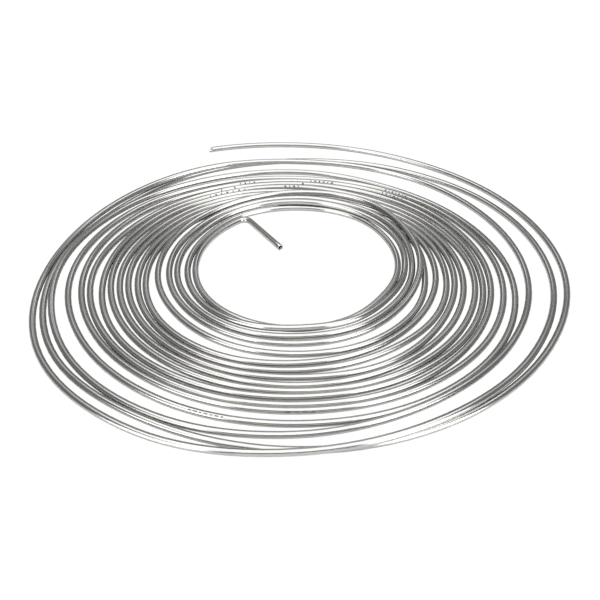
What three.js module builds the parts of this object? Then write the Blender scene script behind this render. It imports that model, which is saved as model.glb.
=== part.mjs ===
// Immersion wort chiller: one length of thin stainless tube wound by hand into a flat, loose coil.
// Millimetres, +Z up. The coil rests on z = 0 with the middle of its box on the Z axis.
// The tube runs clockwise, seen from above, from its outer end at the back to its inner end.
// Every mesh is a stretch of that one tube: a mesh per turn, the two ends and the inner bend.
import * as THREE from 'three';

const TUBE_OD = 6.35;         // quarter-inch tube
const WALL = 0.89;
const OUTER_SIDES = 8;        // a flat faces down, so the tube rests on a face
const BORE_SIDES = 6;
const OUTER_CUT_SLANT = 0.66; // set-back of the outer cut for each millimetre of height
const JOINT_GAP = 0.3;        // left between two stretches where the tube is divided
const STEP_DEG = 12;          // bearing from one ring of the mesh to the next
const SPLIT_DEG = 96;         // bearing at which one turn ends and the next begins
const OUTER_END_DEG = 113.2; // bearing of the cut outer end
const INNER_END_DEG = 125.3; // bearing at which the last turn leaves the coil for the inner bend

// Plan radius of the tube's centre line about the coil's hub, a row for each turn from the
// outside in. A row starts at bearing 90 (straight back) and goes round clockwise in 30 degree steps.
const KNOT_DEG = 30;
const FIRST_KNOT_DEG = 90;
const TURN_RADII = [
  [275.0, 267.7, 267.0, 262.6, 249.0, 239.9, 237.3, 239.5, 250.6, 246.2, 234.7, 234.5],
  [232.5, 239.9, 249.2, 248.6, 240.5, 238.7, 243.0, 253.5, 261.7, 253.3, 239.3, 230.2],
  [218.0, 228.7, 227.4, 224.7, 219.1, 217.3, 221.0, 232.5, 241.0, 239.8, 227.2, 210.5],
  [203.5, 194.8, 199.4, 208.0, 211.5, 210.6, 209.7, 215.5, 223.0, 227.2, 218.6, 201.5],
  [187.6, 187.2, 192.4, 198.0, 199.2, 196.2, 195.3, 201.3, 210.0, 215.0, 207.6, 191.2],
  [181.0, 179.7, 182.3, 186.5, 187.8, 188.9, 188.5, 194.7, 202.8, 206.0, 195.2, 183.4],
  [174.3, 171.3, 174.1, 178.5, 181.0, 179.8, 179.5, 186.3, 194.3, 194.0, 187.9, 176.8],
  [167.0, 160.2, 164.3, 171.0, 172.8, 173.0, 172.7, 177.3, 183.5, 186.7, 180.5, 170.0],
  [157.0, 153.4, 157.0, 160.2, 162.4, 163.7, 165.8, 168.7, 175.3, 178.0, 171.2, 163.2],
  [150.4, 146.8, 150.5, 152.2, 153.0, 157.0, 156.0, 161.6, 167.2, 169.8, 164.2, 156.6],
  [143.7, 140.2, 143.9, 144.0, 145.5, 143.8, 147.0, 153.8, 159.2, 160.6, 156.8, 149.9],
  [137.2, 133.6, 137.2, 134.5, 132.8, 134.3, 138.0, 146.3, 152.2, 152.8, 150.2, 143.1],
  [130.6, 127.0, 130.3, 123.8, 125.3, 126.3, 126.3, 130.3, 135.5, 142.3, 144.4, 141.9],
  [144.3, 144.0, 129.5, 119.3, 111.7, 111.0, 112.0, 117.0, 124.0, 131.3, 135.5, 135.3],
  [130.4, 126.8, 121.2, 111.6, 104.3, 102.3, 102.0, 108.5, 115.8, 123.2, 127.0, 128.6],
  [123.0, 119.0, 115.0, 104.0, 96.1, 96.3, 95.8, 101.0, 107.0, 113.0, 117.2, 122.6],
  [121.0, 117.8, 106.7, 97.0, 89.0, 89.5, 91.0, 94.2, 99.5, 105.0, 110.7, 115.8],
];
const RADIUS_BEFORE = 287.5; // one knot before the table, so that the outer end keeps its curve
const RADIUS_AFTER = 117.5;  // one knot after it

// Where the tube rides over other turns: turn, bearing, rise of the centre line.
const LIFTS = [
  [2, 330, 2.0], [2, 300, 6.9], [2, 270, 4.6], [2, 150, 5.5], [2, 120, 6.9],
  [3, 90, 6.4], [3, 330, 1.8], [3, 300, 3.8], [3, 180, 4.2], [3, 150, 3.2], [3, 120, 2.6],
  [13, 150, 3.3], [13, 120, 6.5],
  [14, 90, 6.5], [14, 60, 6.5], [14, 30, 6.6], [14, 0, 5.6], [14, 120, 3.6],
  [15, 90, 6.9], [15, 60, 6.5], [15, 30, 5.5], [15, 120, 3.8],
  [16, 90, 6.8], [16, 60, 6.6], [16, 30, 3.4],
  [16, 330, 2.3], [16, 300, 4.4], [16, 270, 4.8], [16, 240, 3.0],
];

const BEND_RADIUS = 8;       // of the centre line where the inner end turns in
const BEND_STEPS = 7;
const TAIL_DIRECTION = new THREE.Vector3(0.5, -0.863, 0.068).normalize();
const TAIL_LENGTH = 68;

const OUTER_RADIUS = TUBE_OD / 2;
const BORE_RADIUS = OUTER_RADIUS - WALL;
const REST_HEIGHT = OUTER_RADIUS * Math.cos(Math.PI / OUTER_SIDES);
const FULL_TURN = 360;
const COIL_END = TURN_RADII.length * FULL_TURN + FIRST_KNOT_DEG - INNER_END_DEG;
const UP = new THREE.Vector3(0, 0, 1);

function stainless() {
  return new THREE.MeshStandardMaterial({ color: 0xc6c8ca, roughness: 0.25, metalness: 1 });
}

// Radius and height of the centre line as one smooth curve through all the knots.
function coilProfile() {
  const perTurn = FULL_TURN / KNOT_DEG;
  const radii = [RADIUS_BEFORE, ...TURN_RADII.flat(), RADIUS_AFTER];
  const knots = radii.map((radius) => new THREE.Vector3(radius, REST_HEIGHT, 0));
  for (const [turn, bearing, rise] of LIFTS) {
    const column = ((FIRST_KNOT_DEG - bearing + FULL_TURN) % FULL_TURN) / KNOT_DEG;
    knots[1 + (turn - 1) * perTurn + column].y += rise;
  }
  return new THREE.CatmullRomCurve3(knots, false, 'catmullrom', 0.5);
}

// Centre of the tube after a clockwise sweep from the first knot of the table. The curve may
// dip beside a lift, so its height is held at or above the floor.
function coilPoint(profile, sweep) {
  const spans = profile.points.length - 1;
  const knot = profile.getPoint((sweep / KNOT_DEG + 1) / spans);
  const bearing = THREE.MathUtils.degToRad(FIRST_KNOT_DEG - sweep);
  const height = Math.max(knot.y, REST_HEIGHT);
  return new THREE.Vector3(knot.x * Math.cos(bearing), knot.x * Math.sin(bearing), height);
}

function coilStation(profile, sweep) {
  const nudge = 0.5;
  const ahead = coilPoint(profile, sweep + nudge);
  const behind = coilPoint(profile, sweep - nudge);
  return { point: coilPoint(profile, sweep), tangent: ahead.sub(behind).normalize() };
}

// Stations of one stretch of the coil; half a joint gap is taken off each divided end.
function coilStretch(profile, from, to, gapAtStart, gapAtEnd) {
  const stations = [];
  const first = Math.ceil(from / STEP_DEG + 0.01);
  const last = Math.floor(to / STEP_DEG - 0.01);
  stations.push(coilStation(profile, from));
  for (let step = first; step <= last; step += 1) {
    stations.push(coilStation(profile, step * STEP_DEG));
  }
  stations.push(coilStation(profile, to));
  trimEnds(stations, gapAtStart, gapAtEnd);
  return stations;
}

function trimEnds(stations, gapAtStart, gapAtEnd) {
  const first = stations[0];
  const last = stations[stations.length - 1];
  if (gapAtStart) first.point.addScaledVector(first.tangent, JOINT_GAP / 2);
  if (gapAtEnd) last.point.addScaledVector(last.tangent, -JOINT_GAP / 2);
}

// Arc from the end of the coil round to the direction of the tail.
function bendStretch(start) {
  const angle = start.tangent.angleTo(TAIL_DIRECTION);
  const inward = TAIL_DIRECTION.clone();
  inward.addScaledVector(start.tangent, -start.tangent.dot(TAIL_DIRECTION)).normalize();
  const stations = [];
  for (let step = 0; step <= BEND_STEPS; step += 1) {
    const turned = (angle * step) / BEND_STEPS;
    const point = start.point.clone();
    point.addScaledVector(start.tangent, BEND_RADIUS * Math.sin(turned));
    point.addScaledVector(inward, BEND_RADIUS * (1 - Math.cos(turned)));
    const tangent = start.tangent.clone().multiplyScalar(Math.cos(turned));
    tangent.addScaledVector(inward, Math.sin(turned));
    stations.push({ point, tangent });
  }
  return stations;
}

function tailStretch(start) {
  const end = start.point.clone().addScaledVector(TAIL_DIRECTION, TAIL_LENGTH);
  return [
    { point: start.point.clone(), tangent: TAIL_DIRECTION },
    { point: end, tangent: TAIL_DIRECTION },
  ];
}

// Corners of the section, flat side down, in the plane across the tube.
function sectionCorners(sides, radius) {
  const corners = [];
  for (let side = 0; side < sides; side += 1) {
    const angle = (2 * Math.PI * (side + 0.5)) / sides - Math.PI / 2;
    corners.push(new THREE.Vector2(radius * Math.cos(angle), radius * Math.sin(angle)));
  }
  return corners;
}

function addRing(positions, corners, station) {
  const side = new THREE.Vector3().crossVectors(station.tangent, UP).normalize();
  const up = new THREE.Vector3().crossVectors(side, station.tangent);
  if (station.slant) up.addScaledVector(station.tangent, station.slant);
  for (const corner of corners) {
    const place = station.point.clone();
    place.addScaledVector(side, corner.x).addScaledVector(up, corner.y);
    positions.push(place.x, place.y, place.z);
  }
}

// One closed hollow body: outside wall, bore wall and a flat ring of wall at each end.
function tubeGeometry(stations) {
  const outer = sectionCorners(OUTER_SIDES, OUTER_RADIUS);
  const bore = sectionCorners(BORE_SIDES, BORE_RADIUS).reverse();
  const corners = [...outer, ...bore];
  const perRing = corners.length;
  const positions = [];
  for (const station of stations) addRing(positions, corners, station);

  const faces = [];
  for (let ring = 0; ring < stations.length - 1; ring += 1) {
    const near = ring * perRing;
    addWall(faces, near, near + perRing, OUTER_SIDES);
    addWall(faces, near + OUTER_SIDES, near + perRing + OUTER_SIDES, BORE_SIDES);
  }
  const lastRing = (stations.length - 1) * perRing;
  for (const [a, b, c] of THREE.ShapeUtils.triangulateShape(outer, [bore])) {
    faces.push(a, b, c);
    faces.push(lastRing + a, lastRing + c, lastRing + b);
  }
  const geometry = new THREE.BufferGeometry();
  geometry.setAttribute('position', new THREE.Float32BufferAttribute(positions, 3));
  geometry.setIndex(faces);
  geometry.computeVertexNormals();
  return geometry;
}

function addWall(faces, near, far, sides) {
  for (let side = 0; side < sides; side += 1) {
    const next = (side + 1) % sides;
    faces.push(near + side, far + side, near + next);
    faces.push(near + next, far + side, far + next);
  }
}

function stretchMesh(name, stations) {
  const mesh = new THREE.Mesh(tubeGeometry(stations), stainless());
  mesh.name = name;
  return mesh;
}

// Sets the group so that its box's middle is on the Z axis and its bottom at z = 0.
function centreOnFloor(group) {
  const box = new THREE.Box3().setFromObject(group);
  const middle = box.getCenter(new THREE.Vector3());
  group.position.set(-middle.x, -middle.y, -box.min.z);
}

function addOuterEnd(group, profile) {
  const from = FIRST_KNOT_DEG - OUTER_END_DEG;
  const to = FIRST_KNOT_DEG - SPLIT_DEG;
  const stations = coilStretch(profile, from, to, false, true);
  stations[0].slant = OUTER_CUT_SLANT;
  group.add(stretchMesh('outer_end', stations));
}

function addTurns(group, profile) {
  for (let turn = 1; turn <= TURN_RADII.length; turn += 1) {
    const from = FIRST_KNOT_DEG - SPLIT_DEG + (turn - 1) * FULL_TURN;
    const to = Math.min(from + FULL_TURN, COIL_END);
    const name = `turn_${String(turn).padStart(2, '0')}`;
    group.add(stretchMesh(name, coilStretch(profile, from, to, true, true)));
  }
}

function addInnerEnd(group, profile) {
  const bend = bendStretch(coilStation(profile, COIL_END));
  const tail = tailStretch(bend[bend.length - 1]);
  trimEnds(bend, true, true);
  trimEnds(tail, true, false);
  group.add(stretchMesh('inner_bend', bend));
  group.add(stretchMesh('inner_tail', tail));
}

const chiller = new THREE.Group();
chiller.name = 'immersion_wort_chiller';
const coil = coilProfile();
addOuterEnd(chiller, coil);
addTurns(chiller, coil);
addInnerEnd(chiller, coil);
centreOnFloor(chiller);

export default chiller;
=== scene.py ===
"""Immersion wort chiller: one bright stainless tube wound into a flat, loose coil.

The CAD holds the tube as stretches with flat sides. Here it is one smooth, hollow, continuous
tube along the same centre line, with its drawn finish and its cut ends. Plain dashes stand for
the small print along it.
"""

import math

import bmesh
import bpy
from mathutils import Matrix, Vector


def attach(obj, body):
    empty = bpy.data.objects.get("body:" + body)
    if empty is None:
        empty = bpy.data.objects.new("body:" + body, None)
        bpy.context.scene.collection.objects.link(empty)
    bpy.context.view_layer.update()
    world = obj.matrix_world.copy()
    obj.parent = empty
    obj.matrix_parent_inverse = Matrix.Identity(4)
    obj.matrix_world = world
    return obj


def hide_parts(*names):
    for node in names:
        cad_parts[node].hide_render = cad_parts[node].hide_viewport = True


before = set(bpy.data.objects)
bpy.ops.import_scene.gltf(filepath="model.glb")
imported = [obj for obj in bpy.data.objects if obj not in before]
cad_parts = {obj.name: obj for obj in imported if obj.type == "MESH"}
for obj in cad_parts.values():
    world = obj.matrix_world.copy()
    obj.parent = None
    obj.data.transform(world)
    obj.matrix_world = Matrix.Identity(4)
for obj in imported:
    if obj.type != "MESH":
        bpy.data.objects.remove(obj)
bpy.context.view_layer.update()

MM = 0.001

# --- the tube and its route, in metres -------------------------------------------------------
TUBE_RADIUS = 3.175 * MM
BORE_RADIUS = 2.286 * MM
EDGE_ROUND = 0.22 * MM        # the deburred edge at each cut end
OUTER_CUT_SLANT = 0.66        # set-back of the outer cut for each unit of height
AROUND = 20                   # faces around the tube
STEP_DEG = 3.0                # at most this bearing from one ring of the mesh to the next

# Bearings are in degrees about the hub, counterclockwise from +X as seen from above.
KNOT_DEG = 30                 # from one knot of the route to the next
FIRST_KNOT_DEG = 90           # the table's first column
OUTER_END_DEG = 113.2         # bearing of the cut outer end
INNER_END_DEG = 125.3         # where the last turn leaves the coil for the inner bend
# Plan radius of the centre line in millimetres: a row for each turn, from bearing 90 clockwise.
TURN_RADII = [
    [275.0, 267.7, 267.0, 262.6, 249.0, 239.9, 237.3, 239.5, 250.6, 246.2, 234.7, 234.5],
    [232.5, 239.9, 249.2, 248.6, 240.5, 238.7, 243.0, 253.5, 261.7, 253.3, 239.3, 230.2],
    [218.0, 228.7, 227.4, 224.7, 219.1, 217.3, 221.0, 232.5, 241.0, 239.8, 227.2, 210.5],
    [203.5, 194.8, 199.4, 208.0, 211.5, 210.6, 209.7, 215.5, 223.0, 227.2, 218.6, 201.5],
    [187.6, 187.2, 192.4, 198.0, 199.2, 196.2, 195.3, 201.3, 210.0, 215.0, 207.6, 191.2],
    [181.0, 179.7, 182.3, 186.5, 187.8, 188.9, 188.5, 194.7, 202.8, 206.0, 195.2, 183.4],
    [174.3, 171.3, 174.1, 178.5, 181.0, 179.8, 179.5, 186.3, 194.3, 194.0, 187.9, 176.8],
    [167.0, 160.2, 164.3, 171.0, 172.8, 173.0, 172.7, 177.3, 183.5, 186.7, 180.5, 170.0],
    [157.0, 153.4, 157.0, 160.2, 162.4, 163.7, 165.8, 168.7, 175.3, 178.0, 171.2, 163.2],
    [150.4, 146.8, 150.5, 152.2, 153.0, 157.0, 156.0, 161.6, 167.2, 169.8, 164.2, 156.6],
    [143.7, 140.2, 143.9, 144.0, 145.5, 143.8, 147.0, 153.8, 159.2, 160.6, 156.8, 149.9],
    [137.2, 133.6, 137.2, 134.5, 132.8, 134.3, 138.0, 146.3, 152.2, 152.8, 150.2, 143.1],
    [130.6, 127.0, 130.3, 123.8, 125.3, 126.3, 126.3, 130.3, 135.5, 142.3, 144.4, 141.9],
    [144.3, 144.0, 129.5, 119.3, 111.7, 111.0, 112.0, 117.0, 124.0, 131.3, 135.5, 135.3],
    [130.4, 126.8, 121.2, 111.6, 104.3, 102.3, 102.0, 108.5, 115.8, 123.2, 127.0, 128.6],
    [123.0, 119.0, 115.0, 104.0, 96.1, 96.3, 95.8, 101.0, 107.0, 113.0, 117.2, 122.6],
    [121.0, 117.8, 106.7, 97.0, 89.0, 89.5, 91.0, 94.2, 99.5, 105.0, 110.7, 115.8],
]
RADIUS_BEFORE = 287.5         # in millimetres, one knot before the table
RADIUS_AFTER = 117.5          # and one knot after it
# Where the tube rides over other turns: turn, bearing, rise in millimetres.
LIFTS = [
    (2, 330, 2.0), (2, 300, 6.9), (2, 270, 4.6), (2, 150, 5.5), (2, 120, 6.9),
    (3, 90, 6.4), (3, 330, 1.8), (3, 300, 3.8), (3, 180, 4.2), (3, 150, 3.2), (3, 120, 2.6),
    (13, 150, 3.3), (13, 120, 6.5),
    (14, 90, 6.5), (14, 60, 6.5), (14, 30, 6.6), (14, 0, 5.6), (14, 120, 3.6),
    (15, 90, 6.9), (15, 60, 6.5), (15, 30, 5.5), (15, 120, 3.8),
    (16, 90, 6.8), (16, 60, 6.6), (16, 30, 3.4),
    (16, 330, 2.3), (16, 300, 4.4), (16, 270, 4.8), (16, 240, 3.0),
]
FULL_TURN = 360
COIL_END = len(TURN_RADII) * FULL_TURN + FIRST_KNOT_DEG - INNER_END_DEG

BEND_RADIUS = 8 * MM
BEND_STEPS = 14
TAIL_DIRECTION = Vector((0.5, -0.863, 0.068)).normalized()
TAIL_LENGTH = 68 * MM
TAIL_STEPS = 8
HALF_NUDGE_DEG = STEP_DEG / 4 # step to each side of a point when its direction is worked out

UP = Vector((0, 0, 1))

# --- dashes printed along the tube --------------------------------------------------------------
# Turn, first and last bearing, how many, angle around the tube (0 on the side towards the hub and
# 90 on top), length in millimetres, and how many degrees around the tube each dash reaches.
PRINTED_ROWS = [
    (4, 163, 161, 2, 90, 1.6, 30), (4, 307, 304, 3, 150, 2.4, 20), (4, 253, 245.5, 7, 122, 3.4, 16),
    (5, 58, 50, 7, 45, 1.8, 34), (5, 112, 107, 4, 45, 1.8, 34), (5, 273, 267, 4, 155, 3.0, 20),
    (6, 58, 50, 6, 45, 1.8, 34), (6, 86, 78, 6, 48, 2.4, 34), (6, 120, 115, 2, 45, 2.2, 40),
    (6, 336, 331, 3, 105, 2.4, 20),
    (7, 96, 89, 5, 45, 2.2, 40), (7, 125.5, 112, 7, 32, 2.4, 44),
    (9, 40, 38, 2, 75, 1.6, 30),
]
DASH_VARIATION = [1.0, 0.55, 1.2, 0.75]  # one dash after another, its length times this
DASH_STEPS = 4
INK_ABOVE = 0.04 * MM         # a dash stands this far proud of the wall
INK_BELOW = 0.12 * MM         # and reaches this far into it
DASH_NUDGE_DEG = 1            # step along the coil when a dash's direction is worked out

# --- the camera, the floor and the light ------------------------------------------------------
CAMERA_DISTANCE = 0.7714      # from the point it looks at
CAMERA_ELEVATION = math.radians(37.5)
LOOK_FORWARD = 0.0442         # the picture's middle lies this far in front of the coil's hub
LOOK_LEFT = 0.0005            # and this far to its left
LENS_MM = 48.28
SENSOR_MM = 36.0

WATTS_PER_RADIANCE = 4.0      # for one square metre of a Blender area light
WORLD_GREY = 0.21
FLOOR_HALF = 4.0              # half the width of the table and of the paper, in metres
PAPER_DEPTH = 0.5 * MM        # the paper lies this far under the table


def coil_knots():
    """Radius and height of the centre line at every knot, in metres."""
    per_turn = FULL_TURN // KNOT_DEG
    radii = [RADIUS_BEFORE] + [r for row in TURN_RADII for r in row] + [RADIUS_AFTER]
    heights = [TUBE_RADIUS] * len(radii)
    for turn, bearing, rise in LIFTS:
        column = (FIRST_KNOT_DEG - bearing) % FULL_TURN // KNOT_DEG
        heights[1 + (turn - 1) * per_turn + column] += rise * MM
    return [r * MM for r in radii], heights


def smooth_between(values, place):
    """The knots' values joined by a Catmull-Rom curve, which passes through each of them."""
    last = len(values) - 1
    i = max(0, min(int(place), last - 1))
    u = place - i
    start, end = values[i], values[i + 1]
    before, after = values[max(i - 1, 0)], values[min(i + 2, last)]
    return 0.5 * (
        2 * start
        + (end - before) * u
        + (2 * before - 5 * start + 4 * end - after) * u**2
        + (3 * start - before - 3 * end + after) * u**3
    )


def coil_point(knots, sweep):
    radii, heights = knots
    place = sweep / KNOT_DEG + 1
    radius = smooth_between(radii, place)
    height = max(smooth_between(heights, place), TUBE_RADIUS)
    bearing = math.radians(FIRST_KNOT_DEG - sweep)
    return Vector((radius * math.cos(bearing), radius * math.sin(bearing), height))


def coil_line(knots):
    """(point, direction) along the coil, clockwise from the outer end to the inner bend."""
    start = FIRST_KNOT_DEG - OUTER_END_DEG
    count = math.ceil((COIL_END - start) / STEP_DEG)
    line = []
    for i in range(count + 1):
        sweep = start + (COIL_END - start) * i / count
        ahead = coil_point(knots, sweep + HALF_NUDGE_DEG)
        behind = coil_point(knots, sweep - HALF_NUDGE_DEG)
        direction = ahead - behind
        line.append((coil_point(knots, sweep), direction.normalized()))
    return line


def inner_end_line(start, direction):
    """The tight bend at the inner end and the straight tail after it."""
    angle = direction.angle(TAIL_DIRECTION)
    inward = (TAIL_DIRECTION - direction * direction.dot(TAIL_DIRECTION)).normalized()
    line = []
    for i in range(1, BEND_STEPS + 1):
        turned = angle * i / BEND_STEPS
        along = direction * math.sin(turned) + inward * (1 - math.cos(turned))
        way = direction * math.cos(turned) + inward * math.sin(turned)
        line.append((start + along * BEND_RADIUS, way))
    corner = line[-1][0]
    for i in range(1, TAIL_STEPS + 1):
        line.append((corner + TAIL_DIRECTION * (TAIL_LENGTH * i / TAIL_STEPS), TAIL_DIRECTION))
    return line


def plan_middle(points):
    xs = [p.x for p in points]
    ys = [p.y for p in points]
    return Vector(((min(xs) + max(xs)) / 2, (min(ys) + max(ys)) / 2, 0))


def ring_of(point, direction, radius, slant):
    side = direction.cross(UP).normalized()
    up = side.cross(direction) + direction * slant
    ring = []
    for i in range(AROUND):
        angle = 2 * math.pi * i / AROUND
        ring.append(point + (side * math.cos(angle) + up * math.sin(angle)) * radius)
    return ring


def wall_rings(line):
    """Rings from the bore's mouth at the outer end, along the outside, and back through the bore."""
    (first, first_way), (last, last_way) = line[0], line[-1]
    rings = [
        (first, first_way, BORE_RADIUS + EDGE_ROUND, OUTER_CUT_SLANT),
        (first, first_way, TUBE_RADIUS - EDGE_ROUND, OUTER_CUT_SLANT),
        (first + first_way * EDGE_ROUND, first_way, TUBE_RADIUS, OUTER_CUT_SLANT),
    ]
    rings += [(point, way, TUBE_RADIUS, 0) for point, way in line[1:-1]]
    rings.append((last - last_way * EDGE_ROUND, last_way, TUBE_RADIUS, 0))
    rings.append((last, last_way, TUBE_RADIUS - EDGE_ROUND, 0))
    rings.append((last, last_way, BORE_RADIUS + EDGE_ROUND, 0))
    rings.append((last - last_way * EDGE_ROUND, last_way, BORE_RADIUS, 0))
    rings += [(point, way, BORE_RADIUS, 0) for point, way in reversed(line[1:-1])]
    rings.append((first + first_way * EDGE_ROUND, first_way, BORE_RADIUS, OUTER_CUT_SLANT))
    return rings


def tube_mesh(line):
    """One closed, hollow mesh. Its UV map runs around the tube in u and along it, in metres, in v."""
    mesh = bmesh.new()
    uv = mesh.loops.layers.uv.new("along_tube")
    rings = wall_rings(line)
    corners = [[mesh.verts.new(p) for p in ring_of(*ring)] for ring in rings]
    travelled = [0.0]
    for near, far in zip(rings, rings[1:]):
        travelled.append(travelled[-1] + (far[0] - near[0]).length)
    for i in range(len(rings)):
        j = (i + 1) % len(rings)
        v_near = travelled[i]
        v_far = travelled[j] if j else v_near  # the closing ring's faces have no length in v
        for k in range(AROUND):
            n = (k + 1) % AROUND
            face = mesh.faces.new((corners[i][k], corners[i][n], corners[j][n], corners[j][k]))
            face.smooth = True
            around = (k / AROUND, (k + 1) / AROUND, (k + 1) / AROUND, k / AROUND)
            for loop, u, v in zip(face.loops, around, (v_near, v_near, v_far, v_far)):
                loop[uv].uv = (u, v)
    bmesh.ops.recalc_face_normals(mesh, faces=mesh.faces)
    return mesh


# --- printed dashes ---------------------------------------------------------------------------
def surface_point(point, direction, angle, radius):
    side = direction.cross(UP).normalized()
    up = side.cross(direction)
    return point + (side * math.cos(angle) + up * math.sin(angle)) * radius


def add_dash(mesh, knots, hub, sweep, angle_deg, length, spread_deg):
    """A thin closed patch that follows the tube's wall."""
    here = coil_point(knots, sweep) + hub
    onward = coil_point(knots, sweep + DASH_NUDGE_DEG) + hub
    way = (onward - here).normalized()
    layers = []
    for radius in (TUBE_RADIUS - INK_BELOW, TUBE_RADIUS + INK_ABOVE):
        for shift in (-length / 2, length / 2):
            row = []
            for i in range(DASH_STEPS + 1):
                angle = math.radians(angle_deg + spread_deg * (i / DASH_STEPS - 0.5))
                row.append(mesh.verts.new(surface_point(here + way * shift, way, angle, radius)))
            layers.append(row)
    loop = [layers[0], layers[1], layers[3], layers[2]]
    for i, row in enumerate(loop):
        following = loop[(i + 1) % len(loop)]
        for k in range(DASH_STEPS):
            mesh.faces.new((row[k], row[k + 1], following[k + 1], following[k]))
    mesh.faces.new([row[0] for row in loop])
    mesh.faces.new([row[-1] for row in reversed(loop)])


def printed_mesh(knots, hub):
    mesh = bmesh.new()
    made = 0
    for turn, first, last, count, angle_deg, length_mm, spread_deg in PRINTED_ROWS:
        for i in range(count):
            bearing = first + (last - first) * i / (count - 1)
            sweep = (turn - 1) * FULL_TURN + (FIRST_KNOT_DEG - bearing) % FULL_TURN
            length = length_mm * MM * DASH_VARIATION[made % len(DASH_VARIATION)]
            add_dash(mesh, knots, hub, sweep, angle_deg, length, spread_deg)
            made += 1
    bmesh.ops.recalc_face_normals(mesh, faces=mesh.faces)
    return mesh


# --- materials --------------------------------------------------------------------------------
# A size is how far a feature reaches across and along the tube, in millimetres. A range is the
# part of the noise, from 0 to 1, over which its effect grows from none to full.
NOISE_DETAIL = 3.0
LINE_SIZE = (0.35, 45.0)
LINE_RANGE = (0.25, 0.75)
LINE_ROUGHNESS = (0.14, 0.2)
LINE_STRENGTH = 0.04
LINE_DEPTH = 0.004 * MM
CLOUD_SIZE = (5.0, 30.0)
CLOUD_RANGE = (0.3, 0.7)
DARK_STEEL = (0.57, 0.565, 0.55, 1)
LIGHT_STEEL = (0.63, 0.625, 0.61, 1)
SCUFF_SIZE = (0.9, 2.5)
SCUFF_RANGE = (0.55, 0.8)
SCUFF_ROUGHNESS = 0.015       # added where the tube is scuffed
INK_RANGE = (0.45, 0.65)
FRESH_INK = (0.02, 0.02, 0.02, 1)
WORN_INK = (0.4, 0.4, 0.39, 1)
INK_ROUGHNESS = 0.45
INK_PATCHES_PER_METRE = 1400.0
TABLE_TONE = (0.8, 0.8, 0.8, 1)
TABLE_ROUGHNESS = 0.2
PAPER_BRIGHTNESS = 1.02


def tube_coordinates(tree):
    """A vector in millimetres wrapped round the tube: two axes across it and one along it."""
    uv_map = tree.nodes.new("ShaderNodeUVMap")
    uv_map.uv_map = "along_tube"
    parts = tree.nodes.new("ShaderNodeSeparateXYZ")
    tree.links.new(uv_map.outputs["UV"], parts.inputs[0])
    angle = math_node(tree, "MULTIPLY", parts.outputs["X"], 2 * math.pi)
    across = [math_node(tree, kind, angle) for kind in ("COSINE", "SINE")]
    radius_mm = TUBE_RADIUS / MM
    vector = tree.nodes.new("ShaderNodeCombineXYZ")
    for socket, value in zip(("X", "Y"), across):
        tree.links.new(math_node(tree, "MULTIPLY", value, radius_mm), vector.inputs[socket])
    tree.links.new(math_node(tree, "DIVIDE", parts.outputs["Y"], MM), vector.inputs["Z"])
    return vector.outputs[0]


def math_node(tree, kind, first, second=None):
    node = tree.nodes.new("ShaderNodeMath")
    node.operation = kind
    tree.links.new(first, node.inputs[0])
    if second is not None:
        if isinstance(second, (int, float)):
            node.inputs[1].default_value = second
        else:
            tree.links.new(second, node.inputs[1])
    return node.outputs[0]


def stretched_noise(tree, vector, size):
    """Noise whose features have the given size across and along the tube, in millimetres."""
    across, along = size
    scale = tree.nodes.new("ShaderNodeVectorMath")
    scale.operation = "MULTIPLY"
    tree.links.new(vector, scale.inputs[0])
    scale.inputs[1].default_value = (1 / across, 1 / across, 1 / along)
    noise = tree.nodes.new("ShaderNodeTexNoise")
    noise.inputs["Scale"].default_value = 1.0
    noise.inputs["Detail"].default_value = NOISE_DETAIL
    tree.links.new(scale.outputs[0], noise.inputs["Vector"])
    return noise.outputs["Fac"]


def remap(tree, value, taken, given=(0.0, 1.0)):
    """The range `taken` stretched to the range `given`, and held at its ends."""
    node = tree.nodes.new("ShaderNodeMapRange")
    tree.links.new(value, node.inputs["Value"])
    for socket, number in zip(("From Min", "From Max", "To Min", "To Max"), (*taken, *given)):
        node.inputs[socket].default_value = number
    return node.outputs["Result"]


def drawn_stainless():
    """Bright drawn tube: faint lines along its length, cloudy tone and very light scuffs."""
    material = bpy.data.materials.new("drawn_stainless")
    material.use_nodes = True
    tree = material.node_tree
    shader = tree.nodes["Principled BSDF"]
    shader.inputs["Metallic"].default_value = 1.0
    vector = tube_coordinates(tree)
    lines = stretched_noise(tree, vector, LINE_SIZE)
    clouds = stretched_noise(tree, vector, CLOUD_SIZE)
    scuffs = stretched_noise(tree, vector, SCUFF_SIZE)

    tone = tree.nodes.new("ShaderNodeMix")
    tone.data_type = "RGBA"
    tone.inputs["A"].default_value = DARK_STEEL
    tone.inputs["B"].default_value = LIGHT_STEEL
    tree.links.new(remap(tree, clouds, CLOUD_RANGE), tone.inputs["Factor"])
    tree.links.new(tone.outputs["Result"], shader.inputs["Base Color"])

    base_roughness = remap(tree, lines, LINE_RANGE, LINE_ROUGHNESS)
    scuffed = remap(tree, scuffs, SCUFF_RANGE, (0.0, SCUFF_ROUGHNESS))
    tree.links.new(math_node(tree, "ADD", base_roughness, scuffed), shader.inputs["Roughness"])

    bump = tree.nodes.new("ShaderNodeBump")
    bump.inputs["Strength"].default_value = LINE_STRENGTH
    bump.inputs["Distance"].default_value = LINE_DEPTH
    tree.links.new(lines, bump.inputs["Height"])
    tree.links.new(bump.outputs["Normal"], shader.inputs["Normal"])
    return material


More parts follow.
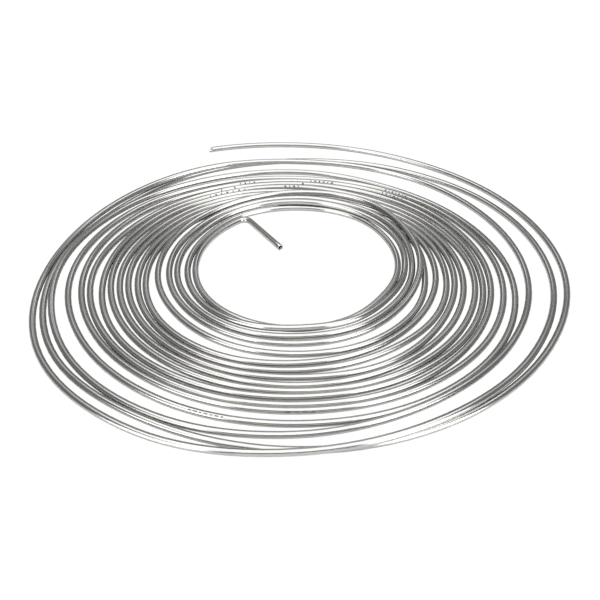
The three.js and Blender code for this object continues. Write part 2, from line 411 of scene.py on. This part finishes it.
def worn_ink():
    """Grey-black ink, patchy where it has rubbed off."""
    material = bpy.data.materials.new("worn_ink")
    material.use_nodes = True
    tree = material.node_tree
    shader = tree.nodes["Principled BSDF"]
    shader.inputs["Roughness"].default_value = INK_ROUGHNESS
    place = tree.nodes.new("ShaderNodeTexCoord")
    patches = tree.nodes.new("ShaderNodeTexNoise")
    patches.inputs["Scale"].default_value = INK_PATCHES_PER_METRE
    tree.links.new(place.outputs["Object"], patches.inputs["Vector"])
    tone = tree.nodes.new("ShaderNodeMix")
    tone.data_type = "RGBA"
    tone.inputs["A"].default_value = FRESH_INK
    tone.inputs["B"].default_value = WORN_INK
    tree.links.new(remap(tree, patches.outputs["Fac"], INK_RANGE), tone.inputs["Factor"])
    tree.links.new(tone.outputs["Result"], shader.inputs["Base Color"])
    return material


def glossy_table():
    """What the tube rests on and reflects."""
    material = bpy.data.materials.new("glossy_table")
    material.use_nodes = True
    shader = material.node_tree.nodes["Principled BSDF"]
    shader.inputs["Base Color"].default_value = TABLE_TONE
    shader.inputs["Roughness"].default_value = TABLE_ROUGHNESS
    return material


def white_paper():
    """What shows between and around the turns: shadowless white."""
    material = bpy.data.materials.new("white_paper")
    material.use_nodes = True
    shader = material.node_tree.nodes["Principled BSDF"]
    shader.inputs["Base Color"].default_value = (0, 0, 0, 1)
    shader.inputs["Specular IOR Level"].default_value = 0.0
    shader.inputs["Emission Color"].default_value = (1, 1, 1, 1)
    shader.inputs["Emission Strength"].default_value = PAPER_BRIGHTNESS
    return material


# --- objects ----------------------------------------------------------------------------------
def add_object(name, mesh, material):
    data = bpy.data.meshes.new(name)
    mesh.to_mesh(data)
    mesh.free()
    data.materials.append(material)
    made = bpy.data.objects.new(name, data)
    bpy.context.scene.collection.objects.link(made)
    return made


def add_camera(hub):
    camera = bpy.data.objects.new("camera", bpy.data.cameras.new("camera"))
    camera.data.lens = LENS_MM
    camera.data.sensor_width = SENSOR_MM
    target = Vector((hub.x - LOOK_LEFT, hub.y - LOOK_FORWARD, 0))
    back = Vector((0, -math.cos(CAMERA_ELEVATION), math.sin(CAMERA_ELEVATION)))
    camera.location = target + back * CAMERA_DISTANCE
    camera.rotation_euler = (math.pi / 2 - CAMERA_ELEVATION, 0, 0)
    bpy.context.scene.collection.objects.link(camera)
    bpy.context.scene.camera = camera


def add_sheet(name, height, material):
    mesh = bmesh.new()
    corners = [mesh.verts.new((x, y, height)) for x, y in ((-1, -1), (1, -1), (1, 1), (-1, 1))]
    for corner in corners:
        corner.co.xy *= FLOOR_HALF
    mesh.faces.new(corners)
    sheet = add_object(name, mesh, material)
    return sheet


def add_floor():
    """The tube reflects the table, and the camera sees the white paper just under it."""
    table = add_sheet("table", 0, glossy_table())
    table.visible_camera = False
    paper = add_sheet("paper", -PAPER_DEPTH, white_paper())
    paper.visible_diffuse = False
    paper.visible_glossy = False
    paper.visible_shadow = False


def add_softbox(name, azimuth, elevation, distance, size, radiance):
    """A rectangular light facing the coil; azimuth is from +Y (behind) towards +X (right)."""
    light = bpy.data.objects.new(name, bpy.data.lights.new(name, "AREA"))
    light.data.shape = "RECTANGLE"
    light.data.size, light.data.size_y = size
    light.data.energy = radiance * size[0] * size[1] * WATTS_PER_RADIANCE
    az, el = math.radians(azimuth), math.radians(elevation)
    way = Vector((math.cos(el) * math.sin(az), math.cos(el) * math.cos(az), math.sin(el)))
    light.location = way * distance
    light.rotation_euler = way.to_track_quat("Z", "Y").to_euler()
    light.visible_camera = False
    bpy.context.scene.collection.objects.link(light)


def add_lights():
    # name, azimuth, elevation, distance in metres, width and height in metres, radiance
    add_softbox("overhead", 180, 82, 3.0, (4.4, 4.8), 1.22)
    add_softbox("front_right", 135, 22, 3.0, (1.8, 2.2), 1.67)
    add_softbox("front_right_low", 134, 8, 2.2, (1.6, 0.7), 2.05)
    add_softbox("front_left", -136, 20, 3.0, (1.7, 1.9), 1.22)
    add_softbox("front_left_low", -134, 8, 2.2, (1.5, 0.7), 1.67)
    add_softbox("front_low", 180, 8, 2.5, (1.6, 0.8), 0.57)
    add_softbox("rear_right", 52, 43, 0.81, (0.5, 0.3), 0.34)
    add_softbox("rear_left", -44, 41, 0.87, (0.5, 0.3), 0.34)
    add_softbox("behind", 0, 36, 1.15, (0.3, 0.24), 0.91)


def set_world(brightness):
    world = bpy.data.worlds.new("studio")
    world.use_nodes = True
    world.node_tree.nodes["Background"].inputs["Color"].default_value = (1, 1, 1, 1)
    world.node_tree.nodes["Background"].inputs["Strength"].default_value = brightness
    bpy.context.scene.world = world


def build():
    knots = coil_knots()
    line = coil_line(knots)
    line += inner_end_line(*line[-1])
    hub = -plan_middle([point for point, _ in line])
    add_camera(hub)
    line = [(point + hub, way) for point, way in line]

    tube = add_object("tube", tube_mesh(line), drawn_stainless())
    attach(tube, "root")
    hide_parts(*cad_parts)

    printed = add_object("printed_dashes", printed_mesh(knots, hub), worn_ink())
    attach(printed, "root")

    add_floor()
    add_lights()
    set_world(WORLD_GREY)
    bpy.context.scene.view_settings.view_transform = "Standard"


build()
